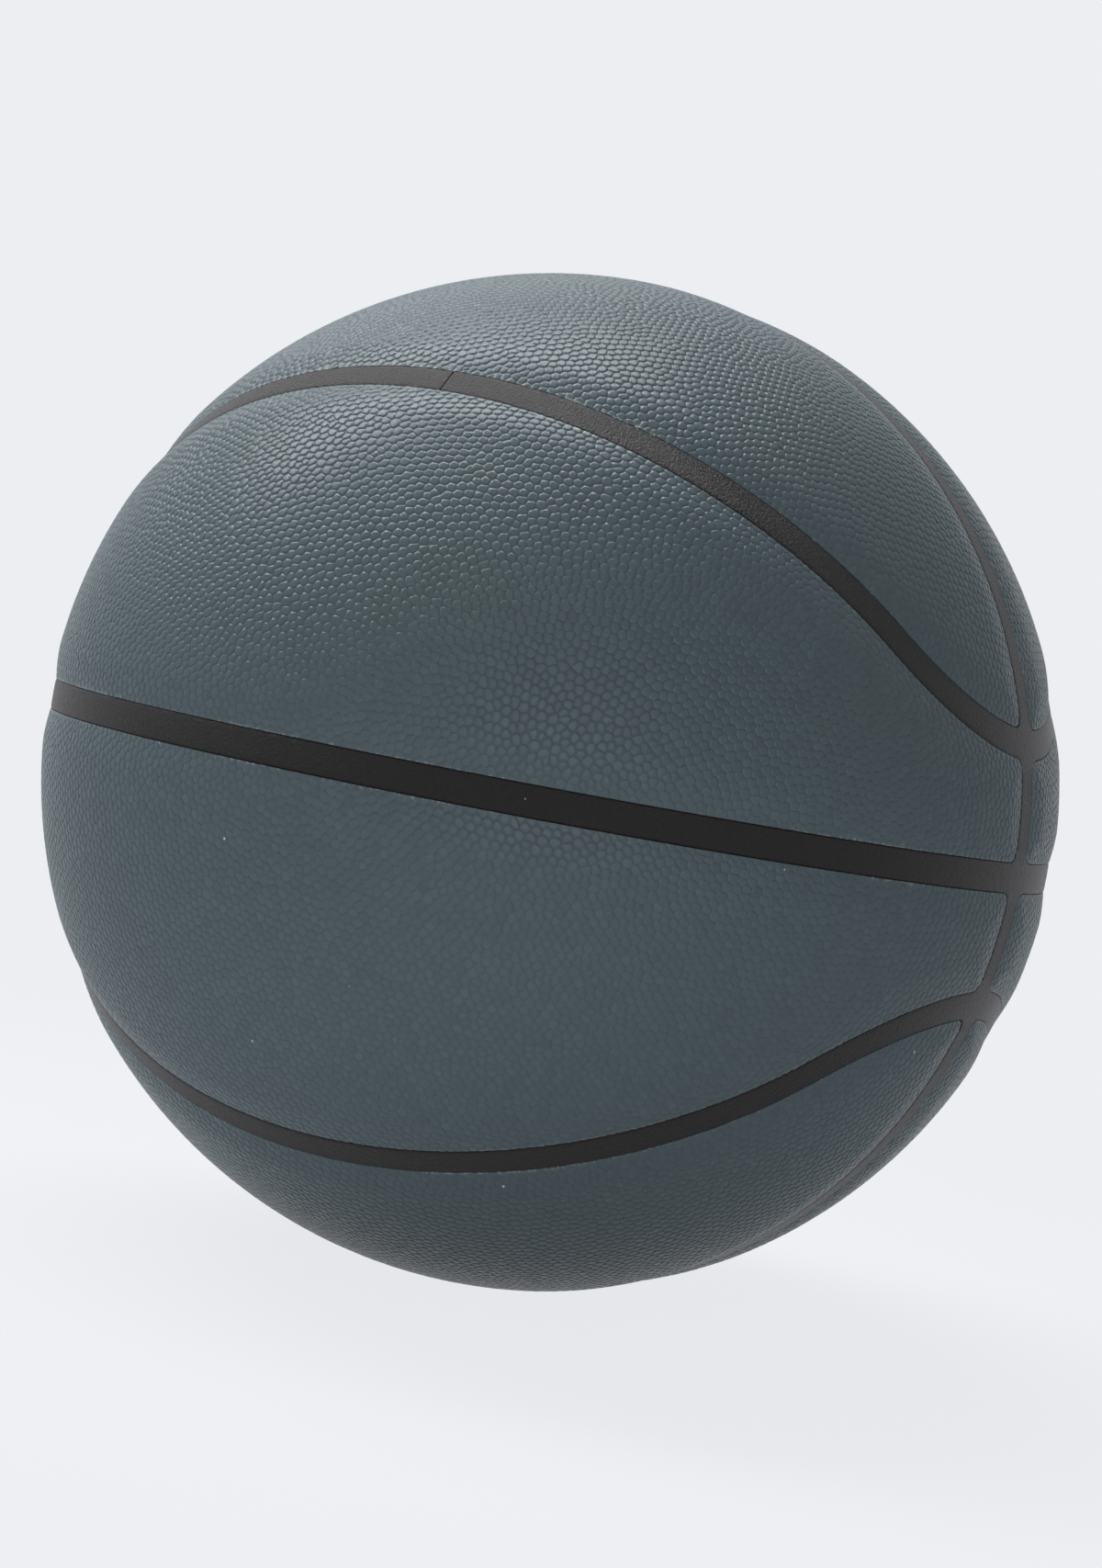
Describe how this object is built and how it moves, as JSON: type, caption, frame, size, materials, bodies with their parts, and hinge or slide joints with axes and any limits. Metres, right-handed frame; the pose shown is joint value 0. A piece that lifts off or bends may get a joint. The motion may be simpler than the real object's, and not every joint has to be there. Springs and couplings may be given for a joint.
{
  "type": "basketball",
  "caption": "Inflatable ball of pebbled composite leather panels with recessed rubber channels, glued on a rubber carcass over a wound layer, an air bladder and a needle valve.",
  "frame": {"origin": "centre of the ball", "axes": "+Z square to the middle channel, towards the upper loop channel; the middle channel lies in the XY plane and the cross channel in the YZ plane; -X is the side with the valve"},
  "size_m": [0.2378, 0.2374, 0.2378],
  "materials": {
    "cover": "pebbled slate grey composite leather, satin",
    "sponge": "closed-cell foam rubber, matt",
    "channel_rubber": "fine-grained black rubber, matt",
    "carcass_rubber": "smooth moulded rubber",
    "nylon_thread": "wound nylon thread",
    "butyl": "smooth butyl rubber",
    "valve_rubber": "smooth soft rubber"
  },
  "bodies": {
    "root": {"cap_panel_upper_front": "cover", "cap_panel_upper_rear": "cover", "cap_panel_lower_front": "cover", "cap_panel_lower_rear": "cover", "band_panel_upper_front": "cover", "band_panel_upper_rear": "cover", "band_panel_lower_front": "cover", "band_panel_lower_rear": "cover", "cap_sponge_upper_front": "sponge", "cap_sponge_upper_rear": "sponge", "cap_sponge_lower_front": "sponge", "cap_sponge_lower_rear": "sponge", "band_sponge_upper_front": "sponge", "band_sponge_upper_rear": "sponge", "band_sponge_lower_front": "sponge", "band_sponge_lower_rear": "sponge", "middle_strip": "channel_rubber", "loop_strip_upper": "channel_rubber", "loop_strip_lower": "channel_rubber", "cross_strip_top": "channel_rubber", "cross_strip_bottom": "channel_rubber", "cross_strip_upper_right": "channel_rubber", "cross_strip_upper_left": "channel_rubber", "cross_strip_lower_right": "channel_rubber", "cross_strip_lower_left": "channel_rubber", "carcass": "carcass_rubber", "winding": "nylon_thread", "bladder": "butyl", "valve_boot": "valve_rubber", "valve_plug": "valve_rubber"}
  },
  "joints": []
}
